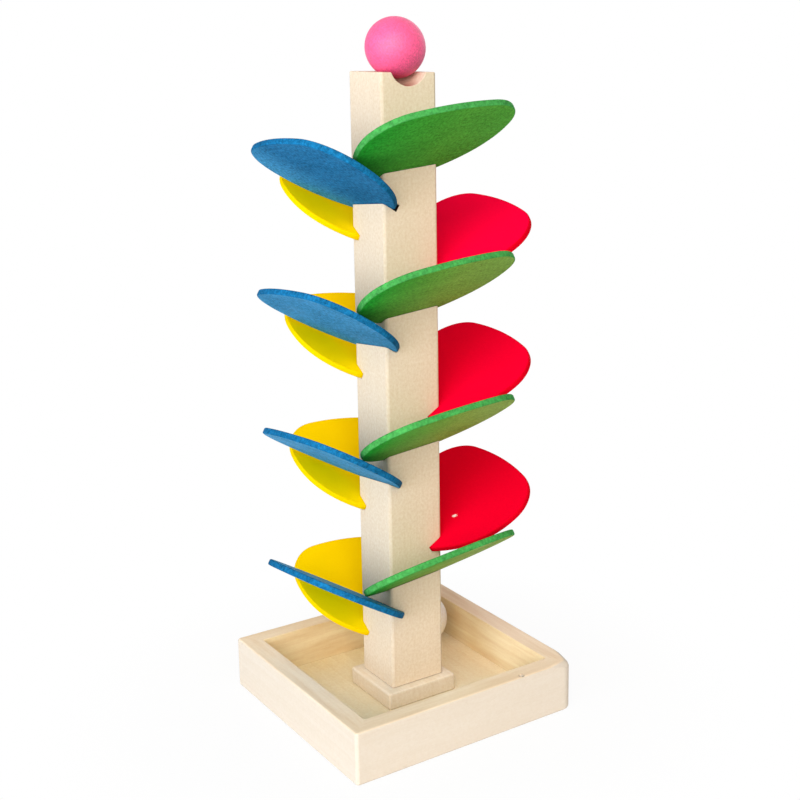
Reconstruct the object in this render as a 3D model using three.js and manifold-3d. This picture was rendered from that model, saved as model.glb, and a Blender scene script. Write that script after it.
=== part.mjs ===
// Tree marble run: a square wooden post on a tray, with painted petals let into saw kerfs
// that wind down its four faces, and two loose wooden balls.
// Millimetres, +Z up, origin at the middle of the tray's underside.
import * as THREE from 'three';
import { mergeVertices } from 'three/addons/utils/BufferGeometryUtils.js';
import Module from 'manifold-3d';

const wasm = await Module();
wasm.setup();

// Balls
const BALL_DIAMETER = 28.5;
const BALL_PLAY = 4.75; // room beside a ball in the tray's channel
const BALL_ASIDE = 3.2; // the plain ball lies this far from the right rail
const BALL_REST_GAP = 0.3; // between a resting ball and what it rests on
const BALL_SIDES = 40;

// Post and plinth
const POST_WIDTH = 30;
const POST_ARRIS = 1.6; // radius of the post's long edges
const PLINTH_MARGIN = 4.6; // plinth showing on each side of the post
const PLINTH_THICKNESS = 8.8;
const PLINTH_CORNER = 1.4;
const PLINTH_BEVEL = 1;

// Launch groove in the top of the post, open on the front face
const GROOVE_WIDTH = 18.6;
const GROOVE_DEPTH = 6.4;
const GROOVE_END = 3.2; // the groove's round end lies this far in front of the post's axis
const GROOVE_OVERRUN = 4; // the cutter runs out past the front face
const GROOVE_SIDES = 48;

// Tray
const RAIL_THICKNESS = 10.4;
const RAIL_HEIGHT = 26.4;
const RAIL_CORNER = 1.8; // radius of three of the tray's outer corners
const SOFT_CORNER = 5.2; // radius of the front right one
const RAIL_BEVEL = 0.9; // outer edges, above and below
const REBATE_WIDTH = 5; // the floor panel is let this far into the rails
const FLOOR_THICKNESS = 5.5;
const GLUE_GAP = 0.1;

// Petals
const PETAL_COUNT = 15;
const PETAL_THICKNESS = 3;
const PETAL_BEVEL = 0.7;
const PETAL_WIDTH = 79.6;
const PETAL_SLOPE = THREE.MathUtils.degToRad(6.3); // down along the ball's run
const PETAL_TILT = THREE.MathUtils.degToRad(31.8); // up and away from the post
const PETAL_GAP = 0.33; // between one petal and the next one down, where they come closest
const SHOULDER_RADIUS = 22;
const SHOULDER_HEIGHT = 31.5; // widest line of the petal, from the post's face
const CROWN_RISE = 1.7; // bulge of the far edge past the shoulders
const FLARE_HEIGHT = 7.1; // where the flanks would meet the widest line if they ran straight
const ROOT_DEPTH = 7.4; // petal let into the post, along the petal
const EAR = 0.8; // root showing past each side of the post
const LAUNCH_DROP = 42.3; // from the post's top to the first petal
const LANDING_HEIGHT = 23.6; // from the plinth to the last petal
const CURVE_STEPS = 8;
const CORNER_STEPS = 4;

// Kerfs that hold the petals
const KERF_CLEARANCE = 0.3;
const KERF_SLACK = 2.6; // kerf left empty behind the petal's root

// Screw that draws tray, plinth and post together from below
const SCREW_LENGTH = 42;
const SCREW_SHANK = 4;
const SCREW_HEAD = 8;
const SCREW_HEAD_HEIGHT = 2.6;
const SCREW_TIP = 6;
const SCREW_RECESS = 0.6; // head below the tray's underside
const SCREW_CLEARANCE = 0.3;
const SCREW_SIDES = 20;
const CROSS_LENGTH = 4.6;
const CROSS_WIDTH = 1.1;
const CROSS_DEPTH = 1.5;

const MERGE_DISTANCE = 1e-4;
const HALF_TURN = Math.PI;
const QUARTER_TURN = Math.PI / 2;
const EIGHTH_TURN = Math.PI / 4;
const FRONT_TURN = HALF_TURN + QUARTER_TURN; // the direction of the front face, -Y

// Sizes that follow from the driving dimensions
const ballRadius = BALL_DIAMETER / 2;
const postHalf = POST_WIDTH / 2;
const plinthWidth = POST_WIDTH + 2 * PLINTH_MARGIN;
const trayInnerHalf = plinthWidth / 2 + BALL_DIAMETER + BALL_PLAY;
const trayHalf = trayInnerHalf + RAIL_THICKNESS;
const plinthTop = FLOOR_THICKNESS + GLUE_GAP + PLINTH_THICKNESS;
const postFoot = plinthTop + GLUE_GAP;
const petalHalf = PETAL_WIDTH / 2;
const rootHalf = postHalf + EAR;
const petalRise = Math.cos(PETAL_SLOPE) * Math.cos(PETAL_TILT); // upward share of a petal's normal
const petalPoints = petalOutline();
const quarterDrop = petalDrop(petalPoints);
const lastPetalZ = plinthTop + LANDING_HEIGHT;
const firstPetalZ = lastPetalZ + (PETAL_COUNT - 1) * quarterDrop;
const postTop = firstPetalZ + LAUNCH_DROP;
const grooveRadius = (GROOVE_WIDTH ** 2 / 4 + GROOVE_DEPTH ** 2) / (2 * GROOVE_DEPTH);

const wood = { color: 0xecd9b8, roughness: 0.62, metalness: 0 };
const warmWood = { color: 0xe2c595, roughness: 0.66, metalness: 0 };
const steel = { color: 0xb9bcc0, roughness: 0.35, metalness: 1 };
const pinkPaint = { color: 0xf7659d, roughness: 0.42, metalness: 0 };

// The four faces in the order in which the ball meets them
const faces = [
  { name: 'green', paint: { color: 0x3f9a3a, roughness: 0.4, metalness: 0 } },
  { name: 'blue', paint: { color: 0x2f7fc0, roughness: 0.4, metalness: 0 } },
  { name: 'yellow', paint: { color: 0xf2cf0a, roughness: 0.4, metalness: 0 } },
  { name: 'red', paint: { color: 0xea0f36, roughness: 0.4, metalness: 0 } },
];

// Drops points that lie on their neighbour, so that an outline has no edge of no length
function tidyOutline(points) {
  const kept = points.filter((point, i) => i === 0 || point.distanceTo(points[i - 1]) > MERGE_DISTANCE);
  if (kept[0].distanceTo(kept[kept.length - 1]) < MERGE_DISTANCE) kept.pop();
  return kept;
}

// Petal outline: X runs along the post's face, Y away from it, and Y = 0 is the face.
// The flanks flare out from the root, two shoulders turn in, and a flat crown joins them.
function petalOutline() {
  const shoulderX = petalHalf - SHOULDER_RADIUS;
  const shoulderToCrown = SHOULDER_RADIUS + CROWN_RISE;
  const crownRadius =
    (shoulderX ** 2 + shoulderToCrown ** 2 - SHOULDER_RADIUS ** 2) / (2 * CROWN_RISE);
  const crownY = SHOULDER_HEIGHT + shoulderToCrown - crownRadius;
  const turn = Math.atan2(SHOULDER_HEIGHT - crownY, shoulderX);
  const path = new THREE.Path();
  path.moveTo(-rootHalf, -ROOT_DEPTH);
  path.lineTo(rootHalf, -ROOT_DEPTH);
  path.quadraticCurveTo(petalHalf, FLARE_HEIGHT, petalHalf, SHOULDER_HEIGHT);
  path.absarc(shoulderX, SHOULDER_HEIGHT, SHOULDER_RADIUS, 0, turn);
  path.absarc(0, crownY, crownRadius, turn, HALF_TURN - turn);
  path.absarc(-shoulderX, SHOULDER_HEIGHT, SHOULDER_RADIUS, HALF_TURN - turn, HALF_TURN);
  path.quadraticCurveTo(-petalHalf, FLARE_HEIGHT, -rootHalf, -ROOT_DEPTH);
  return tidyOutline(path.getPoints(CURVE_STEPS));
}

// True if a point lies inside a closed outline
function isInside(point, outline) {
  let inside = false;
  outline.forEach((a, i) => {
    const b = outline[(i + 1) % outline.length];
    const crosses = a.y > point.y !== b.y > point.y;
    if (crosses && point.x < a.x + ((point.y - a.y) / (b.y - a.y)) * (b.x - a.x)) inside = !inside;
  });
  return inside;
}

// Height that each petal stands below the one before it, so that the low end of one clears
// the high end of the next, which lies a quarter turn on and passes under it
function petalDrop(outline) {
  const lean = Math.sin(PETAL_TILT) * Math.sin(PETAL_SLOPE);
  const climb = Math.sin(PETAL_TILT) * Math.cos(PETAL_SLOPE);
  const height = (s, t) => t * climb - s * Math.sin(PETAL_SLOPE);
  let drop = 0;
  for (const { x: s, y: t } of outline) {
    const alongX = s * Math.cos(PETAL_SLOPE) + t * lean;
    const alongY = postHalf + t * Math.cos(PETAL_TILT);
    const nextT = (alongX - postHalf) / Math.cos(PETAL_TILT);
    const nextS = -(alongY + nextT * lean) / Math.cos(PETAL_SLOPE);
    if (!isInside(new THREE.Vector2(nextS, nextT), outline)) continue;
    const needed = (PETAL_THICKNESS + PETAL_GAP) / petalRise;
    drop = Math.max(drop, needed + height(nextS, nextT) - height(s, t));
  }
  return drop;
}

// Where a petal sits: at the middle of its face, sloped along the face and tilted away from it
function petalSeat(index) {
  const turn = HALF_TURN - QUARTER_TURN * (index % faces.length);
  return new THREE.Matrix4()
    .makeRotationZ(turn)
    .multiply(new THREE.Matrix4().makeTranslation(0, postHalf, firstPetalZ - index * quarterDrop))
    .multiply(new THREE.Matrix4().makeRotationY(PETAL_SLOPE))
    .multiply(new THREE.Matrix4().makeRotationX(PETAL_TILT));
}

// Square with rounded corners, centred on the origin; the front right one may have its own radius
function roundedSquare(width, radius, frontRight = radius) {
  const middle = width / 2 - radius;
  const soft = width / 2 - frontRight;
  const path = new THREE.Path();
  path.absarc(middle, middle, radius, 0, QUARTER_TURN);
  path.absarc(-middle, middle, radius, QUARTER_TURN, HALF_TURN);
  path.absarc(-middle, -middle, radius, HALF_TURN, FRONT_TURN);
  path.absarc(soft, -soft, frontRight, FRONT_TURN, 2 * HALF_TURN);
  return tidyOutline(path.getPoints(CORNER_STEPS));
}

// Extrusion from z = 0 up to a height, with both ends bevelled inside the outline
function extrude(points, height, bevel = 0) {
  const geometry = new THREE.ExtrudeGeometry(new THREE.Shape(points), {
    depth: height - 2 * bevel,
    bevelEnabled: bevel > 0,
    bevelThickness: bevel,
    bevelSize: bevel,
    bevelOffset: -bevel,
    bevelSegments: 1,
  });
  return geometry.translate(0, 0, bevel);
}

function box(width, depth, height, x, y, z) {
  return new THREE.BoxGeometry(width, depth, height).translate(x, y, z);
}

// Turned shape about Z from a profile of [radius, z] pairs that starts and ends on the axis
function turned(profile, sides) {
  const points = profile.map(([radius, z]) => new THREE.Vector2(radius, z));
  return new THREE.LatheGeometry(points, sides).rotateX(QUARTER_TURN);
}

// Solid of a closed geometry
function solid(geometry) {
  const bare = geometry.clone();
  bare.deleteAttribute('normal');
  bare.deleteAttribute('uv');
  const { attributes, index } = mergeVertices(bare, MERGE_DISTANCE);
  const vertProperties = Float32Array.from(attributes.position.array);
  const corners = Array.from(index.array);
  const triVerts = Uint32Array.from(
    corners.filter((_, i) => {
      const [a, b, c] = corners.slice(i - (i % 3), i - (i % 3) + 3);
      return a !== b && b !== c && c !== a;
    }),
  );
  return new wasm.Manifold(new wasm.Mesh({ numProp: 3, vertProperties, triVerts }));
}

// Geometry of a solid after other geometries are cut out of it
function cut(geometry, tools) {
  const result = tools.reduce((body, tool) => body.subtract(solid(tool)), solid(geometry));
  const { vertProperties, triVerts } = result.getMesh();
  const shape = new THREE.BufferGeometry();
  shape.setAttribute('position', new THREE.BufferAttribute(vertProperties, 3));
  shape.setIndex(new THREE.BufferAttribute(triVerts, 1));
  shape.computeVertexNormals();
  return shape;
}

function piece(name, geometry, finish) {
  const mesh = new THREE.Mesh(geometry, new THREE.MeshStandardMaterial(finish));
  mesh.name = name;
  return mesh;
}

// Countersunk screw standing on its head, grown by a clearance for the hole that takes it
function screwShape(grow) {
  const shank = SCREW_SHANK / 2 + grow;
  const head = SCREW_HEAD / 2 + grow;
  return turned(
    [
      [0, 0],
      [head, 0],
      [shank, SCREW_HEAD_HEIGHT + grow],
      [shank, SCREW_LENGTH - SCREW_TIP + grow],
      [0, SCREW_LENGTH + grow],
    ],
    SCREW_SIDES,
  ).translate(0, 0, SCREW_RECESS);
}

// Hole for the screw, with the head's recess open to the underside
function screwHole() {
  const head = SCREW_HEAD / 2 + SCREW_CLEARANCE;
  const mouth = turned(
    [
      [0, -SCREW_RECESS],
      [head, -SCREW_RECESS],
      [head, SCREW_RECESS],
      [0, SCREW_RECESS],
    ],
    SCREW_SIDES,
  );
  return [screwShape(SCREW_CLEARANCE), mouth];
}

function makeScrew() {
  const recessZ = SCREW_RECESS + CROSS_DEPTH / 2;
  return piece(
    'post_screw',
    cut(screwShape(0), [
      box(CROSS_LENGTH, CROSS_WIDTH, CROSS_DEPTH, 0, 0, recessZ),
      box(CROSS_WIDTH, CROSS_LENGTH, CROSS_DEPTH, 0, 0, recessZ),
    ]),
    steel,
  );
}

function makeFloor() {
  const width = 2 * (trayInnerHalf + REBATE_WIDTH - GLUE_GAP);
  const panel = box(width, width, FLOOR_THICKNESS, 0, 0, FLOOR_THICKNESS / 2);
  return piece('tray_floor', cut(panel, screwHole()), warmWood);
}

// One rail of the tray, turned to the front: a quarter of the frame between two mitres, with a
// rebate for the floor
function railGeometry(turn) {
  const outline = roundedSquare(2 * trayHalf, RAIL_CORNER, SOFT_CORNER);
  const block = extrude(outline, RAIL_HEIGHT, RAIL_BEVEL).rotateZ(-turn);
  const wellWidth = 2 * trayInnerHalf;
  const floorWidth = wellWidth + 2 * REBATE_WIDTH;
  const rebateHeight = FLOOR_THICKNESS + GLUE_GAP;
  const reach = 4 * trayHalf;
  const mitre = () => box(reach, reach, reach, 0, (reach - GLUE_GAP) / 2, 0);
  return cut(block, [
    box(wellWidth, wellWidth, 2 * RAIL_HEIGHT, 0, 0, RAIL_HEIGHT / 2),
    box(floorWidth, floorWidth, 2 * rebateHeight, 0, 0, 0),
    mitre().rotateZ(EIGHTH_TURN),
    mitre().rotateZ(-EIGHTH_TURN),
  ]);
}

function makeRails() {
  return ['front', 'right', 'back', 'left'].map((side, i) => {
    const turn = i * QUARTER_TURN;
    const rail = piece(`tray_rail_${side}`, railGeometry(turn), wood);
    rail.rotation.z = turn;
    return rail;
  });
}

function makePlinth() {
  const block = extrude(roundedSquare(plinthWidth, PLINTH_CORNER), PLINTH_THICKNESS, PLINTH_BEVEL);
  block.translate(0, 0, FLOOR_THICKNESS + GLUE_GAP);
  return piece('plinth', cut(block, screwHole()), wood);
}

// Round-bottomed groove that ends in a ball-nosed stop
function grooveTools() {
  const centreZ = postTop - GROOVE_DEPTH + grooveRadius;
  const length = postHalf + GROOVE_OVERRUN - GROOVE_END;
  const run = new THREE.CylinderGeometry(grooveRadius, grooveRadius, length, GROOVE_SIDES);
  const stop = new THREE.SphereGeometry(grooveRadius, GROOVE_SIDES, GROOVE_SIDES / 2);
  return [
    run.translate(0, -GROOVE_END - length / 2, centreZ),
    stop.rotateZ(QUARTER_TURN).translate(0, -GROOVE_END, centreZ),
  ];
}

// Saw kerf across a whole face of the post, in the petal's own plane
function kerfTool(index) {
  const depth = ROOT_DEPTH + KERF_SLACK;
  const thickness = PETAL_THICKNESS + 2 * KERF_CLEARANCE;
  return box(2 * POST_WIDTH, 2 * depth, thickness, 0, 0, 0).applyMatrix4(petalSeat(index));
}

function makePost() {
  const stick = extrude(roundedSquare(POST_WIDTH, POST_ARRIS), postTop - postFoot);
  stick.translate(0, 0, postFoot);
  const kerfs = Array.from({ length: PETAL_COUNT }, (_, i) => kerfTool(i));
  return piece('post', cut(stick, [...kerfs, ...grooveTools(), screwShape(SCREW_CLEARANCE)]), wood);
}

function makePetals() {
  const geometry = extrude(petalPoints, PETAL_THICKNESS, PETAL_BEVEL);
  geometry.translate(0, 0, -PETAL_THICKNESS / 2);
  return Array.from({ length: PETAL_COUNT }, (_, i) => {
    const face = faces[i % faces.length];
    const level = Math.floor(i / faces.length) + 1;
    const petal = piece(`${face.name}_petal_${level}`, geometry, face.paint);
    petal.applyMatrix4(petalSeat(i));
    return petal;
  });
}

function makeBall(name, finish, x, y, z) {
  const geometry = new THREE.SphereGeometry(ballRadius, BALL_SIDES, BALL_SIDES / 2);
  const ball = piece(name, geometry.rotateX(QUARTER_TURN), finish);
  ball.position.set(x, y, z);
  return ball;
}

// The pink ball sits on the rim of the groove's round end
function makePinkBall() {
  const rise = Math.sqrt(ballRadius ** 2 - GROOVE_WIDTH ** 2 / 4);
  return makeBall('pink_ball', pinkPaint, 0, -GROOVE_END, postTop + rise + BALL_REST_GAP);
}

// The plain ball lies against the back rail, near the corner where the last petal drops it
function makeWoodBall() {
  const x = trayInnerHalf - ballRadius - BALL_ASIDE;
  const y = trayInnerHalf - ballRadius - BALL_REST_GAP;
  const z = FLOOR_THICKNESS + ballRadius + BALL_REST_GAP;
  return makeBall('wood_ball', warmWood, x, y, z);
}

const marbleRun = new THREE.Group();
const tray = new THREE.Group();
tray.add(makeFloor(), ...makeRails(), makePlinth(), makeScrew());
const tree = new THREE.Group();
tree.add(makePost(), ...makePetals());
marbleRun.add(tray, tree, makePinkBall(), makeWoodBall());

export default marbleRun;
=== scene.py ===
"""Tree marble run: a square post on a tray, painted petals let into its faces, and two loose balls."""

import math
from contextlib import contextmanager

import bmesh
import bpy
from bpy.props import FloatProperty, FloatVectorProperty, PointerProperty
from mathutils import Matrix, Vector


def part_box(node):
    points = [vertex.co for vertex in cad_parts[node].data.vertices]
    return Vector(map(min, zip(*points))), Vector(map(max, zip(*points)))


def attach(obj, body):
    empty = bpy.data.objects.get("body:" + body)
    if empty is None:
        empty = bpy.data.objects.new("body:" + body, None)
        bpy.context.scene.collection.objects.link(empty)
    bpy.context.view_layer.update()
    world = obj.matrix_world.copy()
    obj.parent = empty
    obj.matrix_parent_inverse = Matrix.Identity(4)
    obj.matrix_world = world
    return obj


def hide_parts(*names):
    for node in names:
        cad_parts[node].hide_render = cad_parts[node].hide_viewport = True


bl_info = {
    "name": "Tree marble run",
    "version": (1, 0, 0),
    "blender": (4, 5, 0),
    "location": "3D View > Sidebar > Marble run",
    "description": "Models a wooden tree marble run, piece by piece, around its packed solids",
    "category": "Add Mesh",
}

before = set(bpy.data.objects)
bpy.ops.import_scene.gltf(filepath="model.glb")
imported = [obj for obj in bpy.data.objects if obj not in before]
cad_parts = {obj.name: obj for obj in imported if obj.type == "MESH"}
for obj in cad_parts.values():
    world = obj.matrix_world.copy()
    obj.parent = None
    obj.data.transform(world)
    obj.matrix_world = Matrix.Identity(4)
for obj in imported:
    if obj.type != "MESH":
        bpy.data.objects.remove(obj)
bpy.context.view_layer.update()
POST_LOW, POST_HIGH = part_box("post")
PLINTH_LOW, PLINTH_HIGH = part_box("plinth")
FLOOR_LOW, FLOOR_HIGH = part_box("tray_floor")
RAIL_LOW, RAIL_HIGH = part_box("tray_rail_front")
SCREW_LOW, SCREW_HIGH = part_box("post_screw")
PINK_LOW, PINK_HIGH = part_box("pink_ball")
PLAIN_LOW, PLAIN_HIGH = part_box("wood_ball")

PETAL_COLOURS = ("green", "blue", "yellow", "red")
PETAL_COUNT = sum("_petal_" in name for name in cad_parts)
RAIL_SIDES = ("front", "right", "back", "left")
QUARTER_TURN = math.pi / 2
SANDED_BEARINGS = [math.radians(degrees) for degrees in (-75, -60, -45, -30, -15)]
SANDED_RISES = [math.radians(degrees) for degrees in (22, 45, 68)]
SMOOTH_ANGLE = math.radians(35)
MILLIMETRE = 0.001
TINY = 1e-6
CLOSE = 1e-5
GROOVE_FIT = 4e-5
DEEP_KERF = 1

# How dark a mark on the wood is, as a share of the dark wood's colour
# The post's foot is darker where it meets the plinth
FOOT_DARKENING = 0.35
# Painted shade on the post's rounded arrises, to tone down their highlight
ARRIS_SHADE = 0.14
END_GRAIN = 0.12
PORES = 0.025
# The nick's hollow is darker
NICK_DARKENING = 0.45

# How fully the painted shade and pink reflection under the ball cover the wood of the launch groove
GROOVE_SHADE_COVER = 0.9

# Shares of rings, fibres, bands and mottle in the figure of a wood
PLAIN_FIGURE = (0.2, 0.15, 0.25, 0.6)
RAIL_FIGURE = (0.12, 0.12, 0.2, 0.3)
POST_FIGURE = (0.08, 0.08, 0.1, 0.95)

# Shares of cloudy cover, fibres and specks in the tone of a paint
PAINT_TONES = (0.15, 0.15, 0.7)

# How strongly the brown streaks show on the rails' tops and inner sides
RIM_STREAKS, WALL_STREAKS = 0.35, 0.5

# Noise seldom leaves this range
NOISE_LOW, NOISE_HIGH = 0.3, 0.7

# Noises: features in a metre along and across the grain, then detail and roughness
WOOD_FIBRES = (34, 1250, 4.0, 0.6)
WOOD_BANDS = (9, 130, 2.0, 0.5)
WOOD_PORES = (260, 2600, 1.0, 0.4)
WOOD_MOTTLE = (650, 800, 3.0, 0.7)
RAIL_STREAKS = (18, 190, 3.0, 0.6)
PAINT_FIBRES = (60, 380, 4.0, 0.65)
PAINT_COVER = (45, 60, 3.0, 0.55)
TURNING_MARKS = (3000, 300, 3.0, 0.6)

# Where in its noise a brown streak or a pore starts, and where it is full
STREAK_RANGE = (0.36, 0.68)
PORE_RANGE = (0.62, 0.72)

# A petal's colour changes along it between these shares of its width, counted from its low end
RUN_TONE_RANGE = (0.05, 0.6)

# Growth rings are drawn out along the grain
RING_STRETCH = (0.05, 1, 1)

# Pores and specks in the fine relief, against the fibres
PORE_DEPTH, SPECK_HEIGHT = 0.6, 0.5

# Smoothest and roughest places of a finish, and how strongly bare wood shines
WOOD_ROUGHNESS = (0.56, 0.70)
PAINT_ROUGHNESS = (0.42, 0.55)
STEEL_ROUGHNESS = (0.25, 0.42)
WOOD_GLOSS = 0.15

# The thread's core as a share of the shank, and its flank's foot and crest as shares of the pitch
THREAD_CORE, THREAD_FOOT, THREAD_CREST = 0.72, 0.55, 0.75

# An upright face's normal rises less than the first, and a face's main direction is past the second
UPRIGHT_RISE, MAIN_DIRECTION = 0.1, 0.7

# How far the balls' boards lay askew on the lathe, in radians
PINK_ASKEW, PLAIN_ASKEW = 0.6, 0.9

# Each board and each petal takes its grain from another place
BOARD_STEP = Vector((0.37, 0.053, 0.011))
PETAL_STEP = Vector((0.31, 0.17, 0.0))

# Lamps, with the direction they hang in and their tint
LAMPS = (
    ("window", (-0.95, -0.25, 0.12), (0.791, 0.877, 1.0)),
    ("room", (-0.5, -0.75, 0.45), (1.0, 0.916, 0.819)),
    ("rim", (0.8, 0.5, 0.45), (0.98, 0.988, 1.0)),
)
LAMP_DISTANCE, LAMP_SIZE, LAMP_AIM = 1.5, 1.1, Vector((0, 0, 0.17))
SKY_TINT = (1.0, 0.983, 0.989, 1.0)
WHITE = (1.0, 1.0, 1.0, 1.0)
STUDIO_FLOOR_SIZE, STUDIO_FLOOR_DROP = 8.0, 0.0002
STUDIO_FLOOR_COLOUR = (0.86, 0.86, 0.85, 1.0)
SHADOW_REACH = (0.06, 0.18)
SHADOW_WHITE = 0.91
SENSOR_WIDTH = 36.0


# Settings

def length(name, description, default):
    """A size in metres."""
    return FloatProperty(
        name=name, description=description, default=default,
        min=0.0, precision=5, subtype="DISTANCE", unit="LENGTH",
    )


def angle(name, description, degrees):
    """An angle, given in degrees."""
    return FloatProperty(
        name=name, description=description, default=math.radians(degrees),
        subtype="ANGLE", unit="ROTATION",
    )


def spot(name, description, default):
    """A place in the shared frame."""
    return FloatVectorProperty(
        name=name, description=description, default=default, size=3,
        subtype="TRANSLATION", unit="LENGTH",
    )


def power(name, description, default):
    """A light's strength."""
    return FloatProperty(name=name, description=description, default=default, min=0.0)


def linear(channel):
    """A screen colour's channel, from 0 to 255, as light."""
    share = channel / 255
    return share / 12.92 if share <= 0.04045 else ((share + 0.055) / 1.055) ** 2.4


def colour(name, description, red, green, blue):
    """A colour, given by its channels on screen."""
    return FloatVectorProperty(
        name=name, description=description, subtype="COLOR", size=3, min=0.0, max=1.0,
        default=(linear(red), linear(green), linear(blue)),
    )


class PetalSizes(bpy.types.PropertyGroup):
    """Sizes of the painted petals."""

    width: length("Width", "Across the widest line", 0.0796)
    thickness: length("Thickness", "Thickness of the board", 0.003)
    edge: length("Edge", "Rounding of the rim", 0.0007)
    shoulder_radius: length("Shoulder radius", "Radius of the two far corners", 0.022)
    shoulder_height: length("Shoulder height", "From the post to the widest line", 0.0315)
    crown_rise: length("Crown rise", "Bulge of the far edge past the shoulders", 0.0017)
    flare_height: length("Flare height", "Where straight flanks would meet the widest line", 0.0071)
    root_depth: length("Root depth", "Petal let into the post", 0.0074)
    ear: length("Ear", "Root showing past each side of the post", 0.0008)
    launch_drop: length("Launch drop", "From the post's top to the first petal", 0.0423)
    slope: angle("Slope", "Down along the ball's run", 6.3)
    tilt: angle("Tilt", "Up and away from the post", 31.8)


class PostSizes(bpy.types.PropertyGroup):
    """Sizes of the post and of what is cut into it."""

    arris: length("Arris", "Rounding of the long edges", 0.0016)
    top_edge: length("Top edge", "Rounding of the top's edges", 0.0006)
    foot_edge: length("Foot edge", "Rounding of the foot's edges", 0.0005)
    groove_width: length("Groove width", "Width of the launch groove at the top", 0.0186)
    groove_depth: length("Groove depth", "Depth of the launch groove", 0.0064)
    groove_end: length("Groove end", "From the post's axis to the groove's round end", 0.0032)
    groove_lip: length("Groove lip", "Rounding of the groove's lip", 0.0004)
    kerf_clearance: length("Kerf clearance", "Room above and below a petal", 0.0003)
    kerf_slack: length("Kerf slack", "Empty end of the one kerf that was sawn too deep", 0.0018)


class TraySizes(bpy.types.PropertyGroup):
    """Sizes of the tray and the plinth."""

    corner: length("Corner", "Radius of three of the outer corners", 0.0018)
    soft_corner: length("Soft corner", "Radius of the front right corner", 0.006)
    sanded: length("Sanded corner", "Rounding of the front right corner's top", 0.0045)
    outer_edge: length("Outer edge", "Rounding of the outer edges", 0.0012)
    inner_edge: length("Inner edge", "Rounding of the rim's inner edge", 0.0004)
    rail_thickness: length("Rail thickness", "Thickness of the rails", 0.0104)
    rebate_width: length("Rebate width", "Floor panel let into the rails", 0.005)
    glue_gap: length("Glue gap", "Room left for glue", 0.0001)
    floor_edge: length("Floor edge", "Rounding of the floor panel's edges", 0.0003)
    plinth_corner: length("Plinth corner", "Radius of the plinth's corners", 0.0014)
    plinth_edge: length("Plinth edge", "Rounding of the plinth's edges", 0.001)


class SmallSizes(bpy.types.PropertyGroup):
    """Sizes of the balls and the screw."""

    ball_flat: length("Ball flat", "Height turned off a ball's two ends", 0.00006)
    screw_shank: length("Screw shank", "Diameter of the screw's shank", 0.004)
    screw_head_height: length("Screw head", "Height of the screw's head", 0.0026)
    screw_rim: length("Screw rim", "Chamfer on the rim of the screw's head", 0.00025)
    screw_plain: length("Plain shank", "Shank without thread under the head", 0.008)
    screw_runout: length("Thread run-out", "From the plain shank to the thread's root", 0.0005)
    screw_tip: length("Screw tip", "Length of the screw's point", 0.006)
    screw_pitch: length("Screw pitch", "From thread to thread", 0.002)
    screw_clearance: length("Screw clearance", "Room round the screw", 0.0003)
    cross_length: length("Cross length", "Across the recess in the screw's head", 0.0046)
    cross_width: length("Cross width", "Width of the recess's arms", 0.0011)
    cross_depth: length("Cross depth", "Depth of the recess", 0.0015)


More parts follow.
